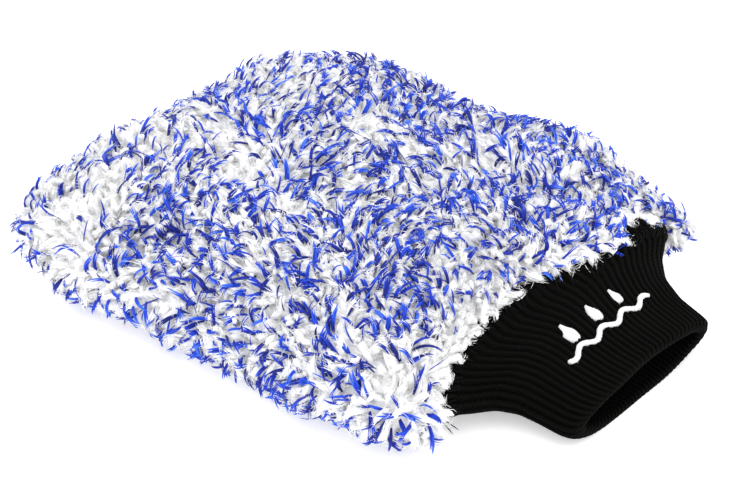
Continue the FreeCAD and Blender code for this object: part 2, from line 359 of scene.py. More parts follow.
def pad_meridian(rings):
    """(share of the outline, height) from the crown over the edge to the underside's middle, evenly apart."""
    angle = np.linspace(0, math.pi / 2, 400)
    outwards, upwards = CROWN_POWERS
    back = angle[::-1]
    r = np.concatenate([np.sin(angle) ** (2 / outwards), np.sin(back) ** (1 / UNDERSIDE_POWER)])
    top_z = EDGE_HEIGHT + (CROWN_HEIGHT - EDGE_HEIGHT) * np.cos(angle) ** (2 / upwards)
    z = np.concatenate([top_z, EDGE_HEIGHT * (1 - np.cos(back))])
    mean_half = (PAD_HALF_LENGTH + PAD_HALF_WIDTH) / 2
    length = travelled(np.hypot(np.diff(r) * mean_half, np.diff(z)))
    return along_lines(np.linspace(0, length[-1], rings), length, r, z)


def grid_normals(points):
    """Outward normals of a closed ring grid (rings, segments, 3)."""
    around = np.roll(points, -1, 1) - np.roll(points, 1, 1)
    down = np.gradient(points, axis=0)
    return unit(np.cross(down, around))


def pad_grid():
    """The pile's envelope as a ring grid (rings, segments, 3), before the pad is puffed."""
    outline = pad_outline(CORE_SEGMENTS)
    meridian = pad_meridian(CORE_RINGS)
    grid = np.empty((CORE_RINGS, CORE_SEGMENTS, 3))
    grid[..., :2] = meridian[:, None, :1].clip(0.004) * outline[None]
    grid[..., 0] += PAD_MIDDLE
    grid[..., 2] = meridian[:, None, 1]
    sag = SAG * smoothstep(grid[..., 1] / SAG_REACH + 0.1) * smoothstep(grid[..., 0] / SAG_REACH)
    grid[..., 2] -= sag * (grid[..., 2] - EDGE_HEIGHT).clip(0)
    grid = bowed(grid)
    normals = grid_normals(grid)
    lumps = sum(height * waves(grid, pitch, seed) for height, pitch, seed in LUMPS)
    floor_free = smoothstep((grid[..., 2] - 3) / 12)  # the side on the floor stays even
    return grid + normals * (lumps * floor_free)[..., None]


def grid_faces(rings, segments, closed_ends=True):
    """Quads of a ring grid, and one face over each end."""
    index = np.arange(rings * segments).reshape(rings, segments)
    following = np.roll(index, -1, 1)
    quads = np.stack([index[:-1], index[1:], following[1:], following[:-1]], -1).reshape(-1, 4)
    return [quads, index[:1], index[-1:, ::-1]] if closed_ends else [quads]


# ---- cuff surface

def cuff_section(x):
    """(y centre, half width, z centre, half height, tilt in radians) of the cuff at x, smooth along X."""
    fine = np.arange(CUFF_SECTIONS[0, 0] - 20, CUFF_SECTIONS[-1, 0] + 20, 0.5)
    kernel = np.hanning(CUFF_SMOOTHING)
    kernel /= kernel.sum()
    columns = []
    for column in range(1, 6):
        line = np.interp(fine, CUFF_SECTIONS[:, 0], CUFF_SECTIONS[:, column])
        line = np.convolve(np.pad(line, CUFF_SMOOTHING // 2, mode="edge"), kernel, mode="valid")
        columns.append(np.interp(x, fine, line))
    columns[-1] = np.radians(columns[-1])
    return columns


def cuff_point(x, turn, inset=0.0):
    """A point of the cuff's tube at x and angle turn, inset from its outside; arrays broadcast."""
    y, half_width, z, half_height, tilt = cuff_section(x)
    rounded = np.sign(np.cos(turn)) * np.abs(np.cos(turn)) ** CUFF_ROUNDNESS
    across = rounded * (half_width - TIP_THICKNESS * inset)
    up = np.sin(turn) * (half_height - inset)
    side = across * np.cos(tilt) - up * np.sin(tilt)
    rise = across * np.sin(tilt) + up * np.cos(tilt)
    return np.stack(np.broadcast_arrays(x, y + side, z + rise), -1)


def cuff_rows(x, inset, count):
    """Rows of the cuff's tube with points evenly spaced round it, and their outward normals across X."""
    fine = cuff_point(x[:, None], np.linspace(0, 2 * math.pi, 1441)[None], inset[:, None])
    rows = np.empty((len(x), count, 3))
    rows[..., 0] = x[:, None]
    for row, line in zip(rows, fine):
        length = travelled(np.linalg.norm(np.diff(line, axis=0), axis=-1))
        places = np.arange(count) * length[-1] / count
        row[:, 1:] = along_lines(places, length, line[:, 1], line[:, 2])
    around = np.roll(rows, -1, 1) - np.roll(rows, 1, 1)
    outward = unit(np.stack([np.zeros_like(around[..., 0]), around[..., 2], -around[..., 1]], -1))
    return rows, outward


def cuff_top(x, y):
    """Height of the cuff's upper outside at places (n,), (n,)."""
    lines = cuff_point(np.asarray(x)[:, None], np.linspace(math.pi - 0.01, 0.01, 361)[None])
    return np.array([np.interp(side, line[:, 1], line[:, 2]) for side, line in zip(y, lines)])


def within_cuff(points):
    """Points' distance from the cuff's axis as a share of its outside, and whether it reaches their x."""
    y, half_width, z, half_height, tilt = cuff_section(points[..., 0])
    dy = points[..., 1] - y
    dz = points[..., 2] - z
    across = (dy * np.cos(tilt) + dz * np.sin(tilt)) / half_width
    up = (dz * np.cos(tilt) - dy * np.sin(tilt)) / half_height
    return np.hypot(across, up), points[..., 0] > CUFF_REACH


def outside_cuff(paths, guide, room=0.7):
    """Lifts or lowers the points of paths (n, steps, 3) that lie inside the cuff to its outside.
    guide (n, 3) says for each path whether that is the upper or the lower side."""
    paths = np.array(paths)
    _, reached = within_cuff(paths)
    y, half_width, z, half_height, tilt = cuff_section(paths[..., 0])
    across = ((paths[..., 1] - y) / (half_width + room)).clip(-1, 1)
    guide_z = cuff_section(guide[:, 0])[2]
    upper = np.where(guide[:, 2] > guide_z, 1, -1)[:, None]
    height = (half_height + room) * np.sqrt(1 - across ** 2)
    skin = z + (half_width * across) * np.sin(tilt) + upper * height
    past = reached & ((paths[..., 2] - skin) * upper < 0) & (np.abs(across) < 1)
    paths[..., 2] = np.where(past, skin, paths[..., 2])
    return paths


# ---- fibres

def tubes(paths, widths, flatness=1.0, sides=3):
    """Closed tapered tubes along paths (n, steps, 3) of diameters widths (n, steps), thinned by flatness.
    Returns points, [quads, tips, roots] and each face's (fibre, step)."""
    count, steps, _ = paths.shape
    tangent = unit(np.gradient(paths, axis=1))
    first = unit(np.cross(tangent, unit(rng.normal(size=(count, 1, 3)))))
    second = np.cross(tangent, first)
    turn = np.arange(sides) * 2 * math.pi / sides
    ring = first[:, :, None] * np.cos(turn)[:, None] + flatness * second[:, :, None] * np.sin(turn)[:, None]
    body = paths[:, :-1, None] + ring[:, :-1] * widths[:, :-1, None, None] / 2
    points = np.concatenate([body.reshape(count, -1, 3), paths[:, -1:]], 1)
    local = np.arange((steps - 1) * sides).reshape(steps - 1, sides)
    following = np.roll(local, -1, 1)
    quads = np.stack([local[:-1], following[:-1], following[1:], local[1:]], -1).reshape(-1, 4)
    tips = np.stack([local[-1], following[-1], np.full(sides, (steps - 1) * sides)], -1)
    offset = (np.arange(count) * points.shape[1])[:, None, None]
    faces = [(part[None] + offset).reshape(-1, part.shape[-1]) for part in (quads, tips, local[:1, ::-1])]
    fibre = np.arange(count)
    owner = [np.repeat(fibre, len(quads)), np.repeat(fibre, sides), fibre]
    step = [np.tile(np.repeat(np.arange(steps - 2), sides), count), np.full(count * sides, steps - 2)]
    step.append(np.zeros(count, int))
    return points.reshape(-1, 3), faces, (np.concatenate(owner), np.concatenate(step))


def scatter(grid, spacing, jitter=0.45):
    """Even but irregular places on a ring grid: (points, normals)."""
    rings, segments, _ = grid.shape
    normals = grid_normals(grid)
    down = np.linalg.norm(np.diff(grid, axis=0), axis=-1).mean(1)
    depth = travelled(down)
    around = np.linalg.norm(np.roll(grid, -1, 1) - grid, axis=-1).sum(1)
    points, outward = [], []
    for place in np.arange(spacing / 2, depth[-1], spacing):
        ring = np.interp(place, depth, np.arange(rings))
        count = max(3, int(np.interp(ring, np.arange(rings), around) / spacing))
        v = ring + rng.uniform(-jitter, jitter, count) * spacing / down.mean()
        u = (np.arange(count) + rng.uniform(0, 1) + rng.uniform(-jitter, jitter, count)) * segments / count
        v = v.clip(0, rings - 1.001)
        v0 = v.astype(int)
        u0 = np.floor(u).astype(int)
        fv, fu = (v - v0)[:, None], (u - u0)[:, None]
        low, high = u0 % segments, (u0 + 1) % segments
        for source, found in ((grid, points), (normals, outward)):
            a = source[v0, low] * (1 - fu) + source[v0, high] * fu
            b = source[v0 + 1, low] * (1 - fu) + source[v0 + 1, high] * fu
            found.append(a * (1 - fv) + b * fv)
    return np.concatenate(points), unit(np.concatenate(outward))


SEAM_EASE = 14.0  # width over which the cuff's influence on the pile fades
COMBED = ((-90.0, -20.0, 50.0), (1.9, 2.1, 2.7))  # the pile's direction in radians, along X
SWIRL = (1.3, 65, 5)  # (radians, pitch, seed)
FLOOR_ZONE = 1.2  # height under which fibres are pressed together on the floor
LEAST_HEIGHT = 0.35
ROOTS_FROM = 0.93  # share of the cuff's section without roots


def seam_distance(points):
    """How far points (..., 3) lie back from the cuff's seam along X."""
    return np.interp(points[..., 1], SEAM_LINE[:, 0], SEAM_LINE[:, 1]) - points[..., 0]


def over_mouth(points):
    """1 where points lie across the cuff's width, falling to 0 beside it."""
    return smoothstep((MOUTH_HALF_WIDTH - np.abs(points[..., 1] - MOUTH_MIDDLE_Y)) / SEAM_EASE)


def short_of_cuff(paths, allowed):
    """Draws fibres that reach over the cuff back to its seam, apart from an allowed overhang in mm."""
    paths = np.array(paths)
    over = (-seam_distance(paths) - allowed).clip(0)
    paths[..., 0] -= 0.92 * over * over_mouth(paths)  # not wholly, so that no hard edge forms
    return paths


def lean_directions(points, normals, spread):
    """Directions in which locks lie along the surface: combed, with swirls and some chance, pulled downhill
    on the sides and back from the cuff's seam."""
    combed = np.interp(points[:, 0], *COMBED)
    steep = 1 - np.abs(normals[:, 2])
    size, pitch, seed = SWIRL
    chance = rng.normal(0, spread, len(points)) * (1 + 1.2 * steep)
    turn = combed + size * waves(points, pitch, seed) + chance
    base = np.stack([np.cos(turn), np.sin(turn), np.zeros(len(points))], -1)
    downhill = np.array([0, 0, -1.0]) - normals * -normals[:, 2:]
    side = steep[:, None] * rng.uniform(0, 1.9, (len(points), 1))
    lean = base + downhill * side
    lean[:, 0] -= 1.3 * (1 - smoothstep(seam_distance(points) / SEAM_EASE)) * over_mouth(points)
    return across_surface(lean, normals)


def across_surface(vectors, normals):
    """The part of vectors that lies along the surface, at unit length."""
    return unit(vectors - normals * (vectors * normals).sum(1, keepdims=True))


def stations(steps):
    """Places along a fibre from 0 to 1, closer together towards its tip."""
    return np.linspace(0, 1, steps) ** 0.8


def lock_curves(roots, normals, leans, rise, reach, bend, steps, over=1.3):
    """Centre lines (locks, steps, 3) that leave the ground steeply and lie over, less so if over is low."""
    t = stations(steps)[None, :, None]
    side = np.cross(normals, leans)[:, None]
    up = rise[:, None, None] * (1 - (1 - t) ** (0.6 + over))
    along = reach[:, None, None] * t ** over
    sideways = side * bend[:, None, None] * t ** 2
    return roots[:, None] + normals[:, None] * up + leans[:, None] * along + sideways


def settle(paths, guide):
    """Keeps fibres above the floor and outside the cuff, on the side where guide (n, 3) lies."""
    paths = outside_cuff(short_of_cuff(paths, rng.uniform(-1.5, 0.0, (len(paths), 1))), guide)
    low = paths[..., 2]
    pressed = LEAST_HEIGHT + (FLOOR_ZONE - LEAST_HEIGHT) * np.exp((low - FLOOR_ZONE).clip(-40) / 2.5)
    paths[..., 2] = np.where(low < FLOOR_ZONE, pressed, low)
    return paths


def free_places(grid, spacing):
    """Scattered places on the pile's envelope that the cuff doesn't fill: (points, normals)."""
    points, normals = scatter(grid, spacing)
    share, reached = within_cuff(points)
    kept = ~(reached & (share < ROOTS_FROM))
    return points[kept], normals[kept]


def bends_with_cuff(centres):
    """Which locks reach into the bending zone in front of the cuff's opening."""
    past = centres[..., 0].max(-1) > BLEND_START_X - 3
    return past & (np.abs(centres[..., 1].mean(-1) - MOUTH_MIDDLE_Y) < MOUTH_HALF_WIDTH)


def bend_piece(piece):
    """Bakes the piece's place into its mesh points."""
    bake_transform(piece)


def add_fibres(label, fibres, materials, flatness, sides, limit):
    """Pieces of at most limit fibres each: those that reach in front of the cuff's opening, and the rest by
    place along X.
    fibres is (paths, widths, shades, bending), with shades (n, steps - 1) as material numbers."""
    paths, widths, shades, bending = fibres
    groups = [(f"{label}_at_cuff", np.flatnonzero(bending))]
    rest = np.flatnonzero(~bending)
    rest = rest[np.argsort(paths[rest, 0, 0], kind="stable")]
    for number, chosen in enumerate(np.array_split(rest, max(1, math.ceil(len(rest) / limit)))):
        groups.append((f"{label}_{number + 1}", chosen))
    made = []
    for name, chosen in groups:
        if len(chosen) == 0:
            continue
        points, faces, (owner, step) = tubes(paths[chosen], widths[chosen], flatness, sides)
        points[:, 2] = points[:, 2].clip(LOWEST_FIBRE, HIGHEST_TIP)
        piece = mesh_piece(name, points, faces, materials, shades[chosen][owner, step])
        if name.endswith("_at_cuff"):
            bend_piece(piece)
        else:
            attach(piece, "mitt")
        made.append(piece)
    return made


def joined(sets):
    """Several fibre sets as one."""
    return [np.concatenate(part) for part in zip(*sets)]


# ---- pile

# Three nearly equal whites: locks and strands take them from root to tip as painted shade to painted light;
# the fuzz takes the two lighter ones at random.
WHITES = [
    principled(f"pile_white_{tone}", color, 0.95, Sheen_Weight=0.2, Specular_IOR_Level=0.2)
    for tone, color in (
        ("shade", (0.94, 0.94, 0.95)), ("soft", (0.955, 0.955, 0.955)), ("bright", (0.97, 0.97, 0.965)),
    )
]
# Four copies of one blue, from navy as painted shade to bright as painted light, laid on the tufts over a
# random tone.
BLUES = [
    principled(f"tuft_blue_{tone}", color, roughness, Specular_IOR_Level=gloss)
    for tone, color, roughness, gloss in (
        ("navy", (0.005, 0.013, 0.20), 0.5, 0.3), ("deep", (0.007, 0.027, 0.40), 0.5, 0.3),
        ("royal", (0.013, 0.068, 0.66), 0.45, 0.3), ("bright", (0.045, 0.17, 0.86), 0.4, 0.35),
    )
]
STRAND_STEPS = 5
LOCK_CHANCE = 1.25  # spread of the locks' lean, in radians
LOCK_BEND = 3.0
LOCK_FILL = 0.42  # a lock's root radius, as a share of the spacing
BODY_LENGTH = 0.93  # as a share of its lock's
BODY_PLUMPNESS = 1.75  # its width, as a share of its lock's radius
CURL = 0.5
STRAYS = (0.05, 2.0, 0.4)  # share of strands that stray, and how far those and the others do


def painted_shade_along(count):
    """Material numbers that brighten from root to tip, painted shade at the root and painted light at the
    tip, each fibre's one tone up or down.
    """
    return np.clip(np.arange(STRAND_STEPS - 1) - 1 + rng.integers(-1, 2, (count, 1)), 0, 2)


def white_locks(grid, spacing, strands, rise, reach, width):
    """Soft white locks: each is a plump body of matted fibre under fine strands that draw in to its tip.
    Returns the fibre sets (bodies, strands)."""
    roots, normals = free_places(grid, spacing)
    count = len(roots)
    every = (count, strands, 1, 1)
    leans = lean_directions(roots, normals, LOCK_CHANCE)
    under = roots - normals * ROOT_DEPTH
    rises = rise * rng.uniform(0.8, 1.1, count)
    reaches = reach * rng.uniform(0.65, 1.2, count)
    bend = rng.normal(0, LOCK_BEND, count)
    centre = settle(lock_curves(under, normals, leans, rises, reaches, bend, STRAND_STEPS), roots)
    bending = bends_with_cuff(centre)
    t = stations(STRAND_STEPS)
    radius = spacing * LOCK_FILL * (1 - 0.6 * t ** 2) * rng.uniform(0.85, 1.15, (count, 1))

    short = centre[:, :1] + (centre - centre[:, :1]) * BODY_LENGTH
    body_widths = BODY_PLUMPNESS * radius * (0.8 + 0.2 * np.sin(math.pi * t))
    body_widths = body_widths * rng.uniform(0.8, 1.15, (count, STRAND_STEPS))
    bodies = (short, body_widths, painted_shade_along(count), bending)

    side = np.cross(normals, leans)[:, None, None]
    up = normals[:, None, None]
    angle = rng.uniform(0, 2 * math.pi, every)
    away = rng.uniform(0.45, 1.15, every)
    twist = angle + rng.normal(0, 0.9, (count, 1, 1, 1)) * t[:, None]
    offset = side * np.cos(twist) + up * np.sin(twist) * 0.8
    paths = centre[:, None] + offset * away * radius[:, None, :, None]
    share, far, near = STRAYS
    stray = np.where(rng.uniform(size=every) < share, far, near)
    paths = paths + rng.normal(0, 1, (count, strands, 1, 3)) * stray * (t ** 2)[:, None]
    turns = t[:, None] * rng.uniform(5, 13, every) + angle
    paths = paths + CURL * (np.sin(turns) * side + np.cos(turns) * up * 0.6)
    paths = centre[:, None, :1] + (paths - centre[:, None, :1]) * rng.uniform(0.75, 1.08, every)
    paths = short_of_cuff(paths.reshape(-1, STRAND_STEPS, 3), rng.uniform(-1.0, 0.6, (count * strands, 1)))
    paths = outside_cuff(paths, np.repeat(roots, strands, 0), 0.4)
    paths[..., 2] = paths[..., 2].clip(0.2)
    profile = (0.8 + 0.35 * np.sin(math.pi * t ** 0.8)) * (1 - 0.6 * t ** 5)
    widths = (width * profile * rng.uniform(0.7, 1.25, (count, strands, 1))).reshape(-1, STRAND_STEPS)
    return bodies, (paths, widths, painted_shade_along(count * strands), np.repeat(bending, strands))


def white_fuzz(grid, spacing, each=2, steps=5):
    """Short fine curls that lie over the locks every way and soften them. Returns one fibre set."""
    roots, normals = free_places(grid, spacing)
    guide, normals = np.repeat(roots, each, 0), np.repeat(normals, each, 0)
    count = len(guide)
    roots = guide + rng.normal(0, 1.2, (count, 3))
    lean = across_surface(rng.normal(size=(count, 3)) + normals * 0.1, normals)
    start = roots - normals * rng.uniform(1.5, 5.0, (count, 1))
    bend = rng.normal(0, 1.6, count)
    rises = rng.uniform(0.3, 3.2, count)
    paths = lock_curves(start, normals, lean, rises, rng.uniform(2.0, 5.5, count), bend, steps)
    bending = bends_with_cuff(paths)
    paths = settle(paths, guide)
    t = stations(steps)
    widths = rng.uniform(0.2, 0.36, (count, 1)) * (1 - 0.6 * t ** 3)
    shades = np.repeat(rng.integers(1, 3, (count, 1)), steps - 1, 1)
    kept = (seam_distance(paths.max(1)) > 1.5) | (np.abs(start[:, 1] - MOUTH_MIDDLE_Y) > MOUTH_HALF_WIDTH)
    return paths[kept], widths[kept], shades[kept], bending[kept]


CLOSED_END_REACH = 110.0  # over which tufts reach their full number
PLAIN_BAND = ((-20, 50), (16, 7))  # width of the nearly white band at the seam, along Y
PATCHES = ((0.4, 42, 9), (0.35, 17, 10))  # (strength, pitch, seed)
FILAMENT_SHARES = (0.18, 0.24, 0.26, 0.20, 0.12)  # of tufts with 1 to 5 filaments
FILAMENT_PITCH = 0.36
FORKED_SHARE = 0.35
TUFT_CHANCE = 0.75  # spread of the tufts' lean, in radians
TUFT_BEND = 3.0
TUFT_STRAIGHTNESS = 1.08


def blue_chance(points):
    """Share of places with a blue tuft: patchy, fewer at the closed end and beside the cuff."""
    closed_end = smoothstep((points[:, 0] - TOP_LOW[0]) / CLOSED_END_REACH)
    band = np.interp(points[:, 1], *PLAIN_BAND)
    cuff_side = 0.04 + 0.96 * smoothstep((seam_distance(points) - 0.2 * band) / (0.8 * band))
    patches = 0.84 + 0.1 * smoothstep(points[:, 1] / 80)
    for strength, pitch, seed in PATCHES:
        patches = patches + strength * waves(points, pitch, seed)
    return (0.5 + 0.5 * closed_end) * cuff_side * patches


def blue_tufts(grid, spacing, rise, reach, width, steps=8):
    """Tufts of glossy blue filaments that lie side by side like a brush stroke and fork towards the tip.
    Returns one fibre set."""
    roots, normals = free_places(grid, spacing)
    kept = rng.uniform(size=len(roots)) < blue_chance(roots)
    roots, normals = roots[kept], normals[kept]
    count = len(roots)
    most = len(FILAMENT_SHARES)
    number = rng.choice(np.arange(1, most + 1), count, p=FILAMENT_SHARES)
    leans = lean_directions(roots, normals, TUFT_CHANCE)
    side = np.cross(normals, leans)
    t = stations(steps)
    order = np.arange(most)[None] - (number[:, None] - 1) / 2
    starts = roots - normals * ROOT_DEPTH * 0.4
    rises = rise * rng.uniform(0.7, 1.2, count)
    reaches = reach * rng.uniform(0.4, 1.35, count)
    bend = rng.normal(0, TUFT_BEND, count)
    centre = lock_curves(starts, normals, leans, rises, reaches, bend, steps, TUFT_STRAIGHTNESS)
    dip = rng.uniform(0, 2.5, (count, 1, 1)) * t[:, None] ** 2.5
    centre = centre - dip * normals[:, None]
    forked = rng.uniform(size=(count, 1)) < FORKED_SHARE
    fork = np.where(forked, rng.uniform(0.5, 1.3, (count, 1)), 0.12)
    pitch = FILAMENT_PITCH * (0.7 + 0.3 * np.sin(math.pi * t))
    spread = order[:, :, None] * (pitch + fork[:, :, None] * t ** 2.2)
    paths = centre[:, None] + side[:, None, None] * spread[..., None]
    paths = paths + normals[:, None, None] * rng.normal(0, 0.13, (count, most, 1, 1))
    paths = paths[:, :, :1] + (paths - paths[:, :, :1]) * rng.uniform(0.8, 1.04, (count, most, 1, 1))
    paths = paths + rng.normal(0, 0.22, (count, most, 1, 3)) * (t ** 2)[:, None]
    bending = np.repeat(bends_with_cuff(centre), most)
    paths = settle(paths.reshape(-1, steps, 3), np.repeat(roots, most, 0))
    widths = width * rng.uniform(0.75, 1.2, len(paths))[:, None]
    widths = widths * ((0.7 + 0.45 * np.sin(math.pi * t ** 0.8)) * (1 - 0.6 * t ** 5))[None]
    tone = rng.uniform(0.0, 2.4, (count, 1)) + rng.uniform(-0.4, 0.8, (count, most))
    # Painted shade at the roots and painted light at the tips, added to each tuft's and filament's random
    # tone.
    shades = tone.reshape(-1, 1) + np.linspace(-0.8, 0.7, steps - 1)[None]
    shades = np.clip(np.round(shades), 0, len(BLUES) - 1).astype(int)
    kept = (np.arange(most)[None] < number[:, None]).ravel()
    return paths[kept], widths[kept], shades[kept], bending[kept]


# White locks as (spacing, strands, rise, reach, strand width), blue tufts without strands, and the fuzz's
# spacing. The underside's pile is coarser, as it lies on the floor.
TOP_PILE = (((4.8, 23, 7.8, 7.0, 0.44), (5.8, 18, 8.3, 6.5, 0.40)), (4.0, 6.0, 8.0, 0.77), 3.2)
UNDER_PILE = (((7.5, 14, 7.2, 8.0, 0.6),), (8.0, 4.2, 9.5, 0.85), 6.0)


def build_pile(grid):
    """White and blue pile over the top and the underside of the pad."""
    split = int(CORE_RINGS * UPPER_SHARE)
    for side, node, part, (locks, blue, fuzz_spacing) in (
        ("top", "top", grid[: split + 1], TOP_PILE), ("under", "bottom", grid[split:], UNDER_PILE),
    ):
        made = [white_locks(part, *numbers) for numbers in locks]
        bodies = joined([m[0] for m in made])
        strands = joined([m[1] for m in made])
        tufts = blue_tufts(part, *blue)
        pieces = add_fibres(f"white_locks_{side}", bodies, WHITES, 0.75, 7, 2200)
        pieces += add_fibres(f"white_strands_{side}", strands, WHITES, 0.7, 3, 5500)
        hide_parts(f"{node}_plush_pile")
        fuzz = white_fuzz(part, fuzz_spacing)
        add_fibres(f"white_fuzz_{side}", fuzz, WHITES, 0.8, 3, 9000)
        pieces = add_fibres(f"blue_tufts_{side}", tufts, BLUES, 0.55, 4, 2600)
        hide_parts(f"{node}_blue_tufts")


# ---- pad

VOXEL = 0.005  # metres
HELD_FROM_X = 74  # the ground stays as it is under the cuff
AIR_PRESSURE = 4
FRAMES = 20
MOST_SWELL = 3.0
OPENING_SHARE = 0.85  # of the cuff's section


def evaluated(piece):
    return piece.evaluated_get(bpy.context.evaluated_depsgraph_get())


def vertex_places(mesh):
    """The places of a mesh's vertices in millimetres."""
    places = np.empty(len(mesh.vertices) * 3, np.float32)
    mesh.vertices.foreach_get("co", places)
    return places.reshape(-1, 3) / MM


def puffed(grid):
    """A short cloth simulation with air pressure on the pad's ground.
    Returns the simulated mesh's (points, quads) and the ring grid moved with it."""
    ground = mesh_piece("ground_start", grid.reshape(-1, 3), grid_faces(CORE_RINGS, CORE_SEGMENTS), [])
    remesh = ground.modifiers.new("even", "REMESH")
    remesh.mode = "VOXEL"
    remesh.voxel_size = VOXEL
    mesh = bpy.data.meshes.new_from_object(evaluated(ground))
    even = new_object("ground_even", mesh)
    start = moved = vertex_places(mesh)
    held = even.vertex_groups.new(name="held")
    held.add([int(i) for i in np.flatnonzero(start[:, 0] > HELD_FROM_X)], 1.0, "REPLACE")
    cloth = even.modifiers.new("cloth", "CLOTH")
    cloth.settings.vertex_group_mass = "held"
    cloth.settings.use_pressure = True
    cloth.settings.uniform_pressure_force = AIR_PRESSURE
    cloth.settings.effector_weights.gravity = 0
    for number in range(1, FRAMES + 1):
        bpy.context.scene.frame_set(number)
    moved = vertex_places(evaluated(even).data)
    bpy.context.scene.frame_set(1)
    shift = moved - start
    size = np.linalg.norm(shift, axis=1, keepdims=True)
    shift = shift * np.minimum(1, MOST_SWELL / np.maximum(size, 1e-6))
    tree = KDTree(len(start))
    for number, point in enumerate(start):
        tree.insert(point, number)
    tree.balance()
    flat = grid.reshape(-1, 3)
    near = np.array([[found[1] for found in tree.find_n(point, 4)] for point in flat])
    quads = np.empty(len(mesh.loops), np.int32)
    mesh.loops.foreach_get("vertex_index", quads)
    points = start + shift
    bpy.data.objects.remove(even)
    bpy.data.objects.remove(ground)
    return points, quads.reshape(-1, 4), (flat + shift[near].mean(1)).reshape(grid.shape)


def build_ground(points, quads):
    """The pile's knitted ground: the puffed skin of the pad, open where the cuff is sewn in."""
    share, reached = within_cuff(points[quads].mean(1))
    opening = reached & (share < OPENING_SHARE)
    piece = mesh_piece("plush_ground", points, quads[~opening], [ground_knit()])
    smooth = piece.modifiers.new("smooth", "SUBSURF")
    smooth.levels = smooth.render_levels = 1
    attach(piece, "mitt")
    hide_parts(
        "top_backing_knit", "bottom_backing_knit", "top_foam_interlining", "bottom_foam_interlining",
        "shell_edge_stitches",
    )


POCKET_SECTIONS = np.array([  # x, half width, z centre, half height
    (92.0, 60.0, 18.4, 4.4), (84.0, 64.0, 19.6, 4.4), (60.0, 72.0, 20.0, 4.4), (0.0, 75.0, 20.0, 4.2),
    (-80.0, 74.0, 20.0, 3.6), (-100.0, 68.0, 20.0, 2.8), (-108.0, 56.0, 20.0, 1.8), (-111.5, 34.0, 20.0, 0.8),
    (-112.5, 8.0, 20.0, 0.3),
])


def build_pocket():
    """The lining's flat bag that the hand goes into, sewn shut at its far end."""
    sections = POCKET_SECTIONS[::-1]
    far, near = sections[0, 0], sections[-1, 0]
    x = np.concatenate([np.linspace(far, -98, 16)[:-1], np.linspace(-98, near, 64)])
    half_width, z, half_height = (np.interp(x, sections[:, 0], sections[:, k])[:, None] for k in (1, 2, 3))
    turn = np.linspace(0, 2 * math.pi, 120, endpoint=False)[None]
    across = np.sign(np.cos(turn)) * np.abs(np.cos(turn)) ** 0.7 * half_width
    up = np.sin(turn) * half_height
    points = np.stack([np.broadcast_to(x[:, None], across.shape), MOUTH_MIDDLE_Y + across, z + up], -1)
    points[..., 2] += 0.7 * waves(points, 34, 31) * (1 - np.abs(np.cos(turn)) ** 6)
    faces = grid_faces(len(x), turn.shape[1], closed_ends=False)
    piece = mesh_piece("pocket_lining", points.reshape(-1, 3), faces, [lining_cloth()])
    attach(piece, "mitt")
    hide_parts("top_pocket_lining", "bottom_pocket_lining", "lining_edge_stitches")


# ---- cuff

def build_cuff():
    """Outer ply, round fold and inner ply of the rib knit, as one ribbed skin."""
    start = CUFF_SECTIONS[0, 0]
    mouth = CUFF_SECTIONS[-1, 0]
    radius = PLY_THICKNESS
    outer_x = np.arange(start, mouth - radius, 0.8)
    fold = np.linspace(0, math.pi, 11)[1:-1]
    inner_x = np.arange(mouth - radius, CUFF_SECTIONS[1, 0], -1.2)
    x = np.concatenate([outer_x, mouth - radius + radius * np.sin(fold), inner_x])
    inset = [np.zeros(len(outer_x)), radius - radius * np.cos(fold), np.full(len(inner_x), 2 * radius)]
    side = [np.ones(len(outer_x)), np.cos(fold), -np.ones(len(inner_x))]
    count = RIB_COUNT * RIB_STEPS
    points, outward = cuff_rows(x, np.concatenate(inset), count)
    ridge = np.sin(math.pi * (np.arange(count) / RIB_STEPS % 1)) ** 0.8
    worn = 1 + 0.18 * waves(points, 22, 41)
    points += outward * (RIB_HEIGHT * (ridge - 0.6) * worn * np.concatenate(side)[:, None])[..., None]
    middle, half_width, *_ = cuff_section(points[..., 0])
    along = ((points[..., 0] - BLEND_END_X) / (mouth - BLEND_END_X)).clip(0) ** 2
    points[..., 0] -= np.interp((points[..., 1] - middle) / half_width, *RIM_SETBACK) * along
    points[..., 0] += 0.5 * waves(points, 30, 42) * along
    points[..., 2] = points[..., 2].clip(0.3)
    faces = grid_faces(len(x), count, closed_ends=False)
    piece = mesh_piece("rib_cuff", points.reshape(-1, 3), faces, [rib_knit()])
    travel = travelled(np.linalg.norm(np.diff(points[:, count // 4], axis=0), axis=-1))
    row, column = np.divmod(np.arange((len(x) - 1) * count), count)
    corners = np.stack([
        travel[row], column / RIB_STEPS, travel[row + 1], column / RIB_STEPS,
        travel[row + 1], (column + 1) / RIB_STEPS, travel[row], (column + 1) / RIB_STEPS,
    ], -1)
    layer = piece.data.uv_layers.new(name="ribs")
    layer.data.foreach_set("uv", corners.astype(np.float32).ravel())
    bend_piece(piece)
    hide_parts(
        "cuff_flare_outer_ply", "cuff_flare_inner_ply", "wrist_cuff_outer_ply", "wrist_cuff_inner_ply"
    )


def thread_piece(name, paths, diameter, material, sides=6):
    points, faces, _ = tubes(paths, np.full(paths.shape[:2], diameter), sides=sides)
    return mesh_piece(name, points, faces, [material])


SEAM_STITCHES = 132
SEAM_THREAD = 0.45
STITCH_REACH = 5.6  # along X
LOOSE_START = (91.0, -72.5, 11.0)
LOOSE_ENDS = ((102.0, -71.0, 7.5), (100.5, -73.0, 6.0))


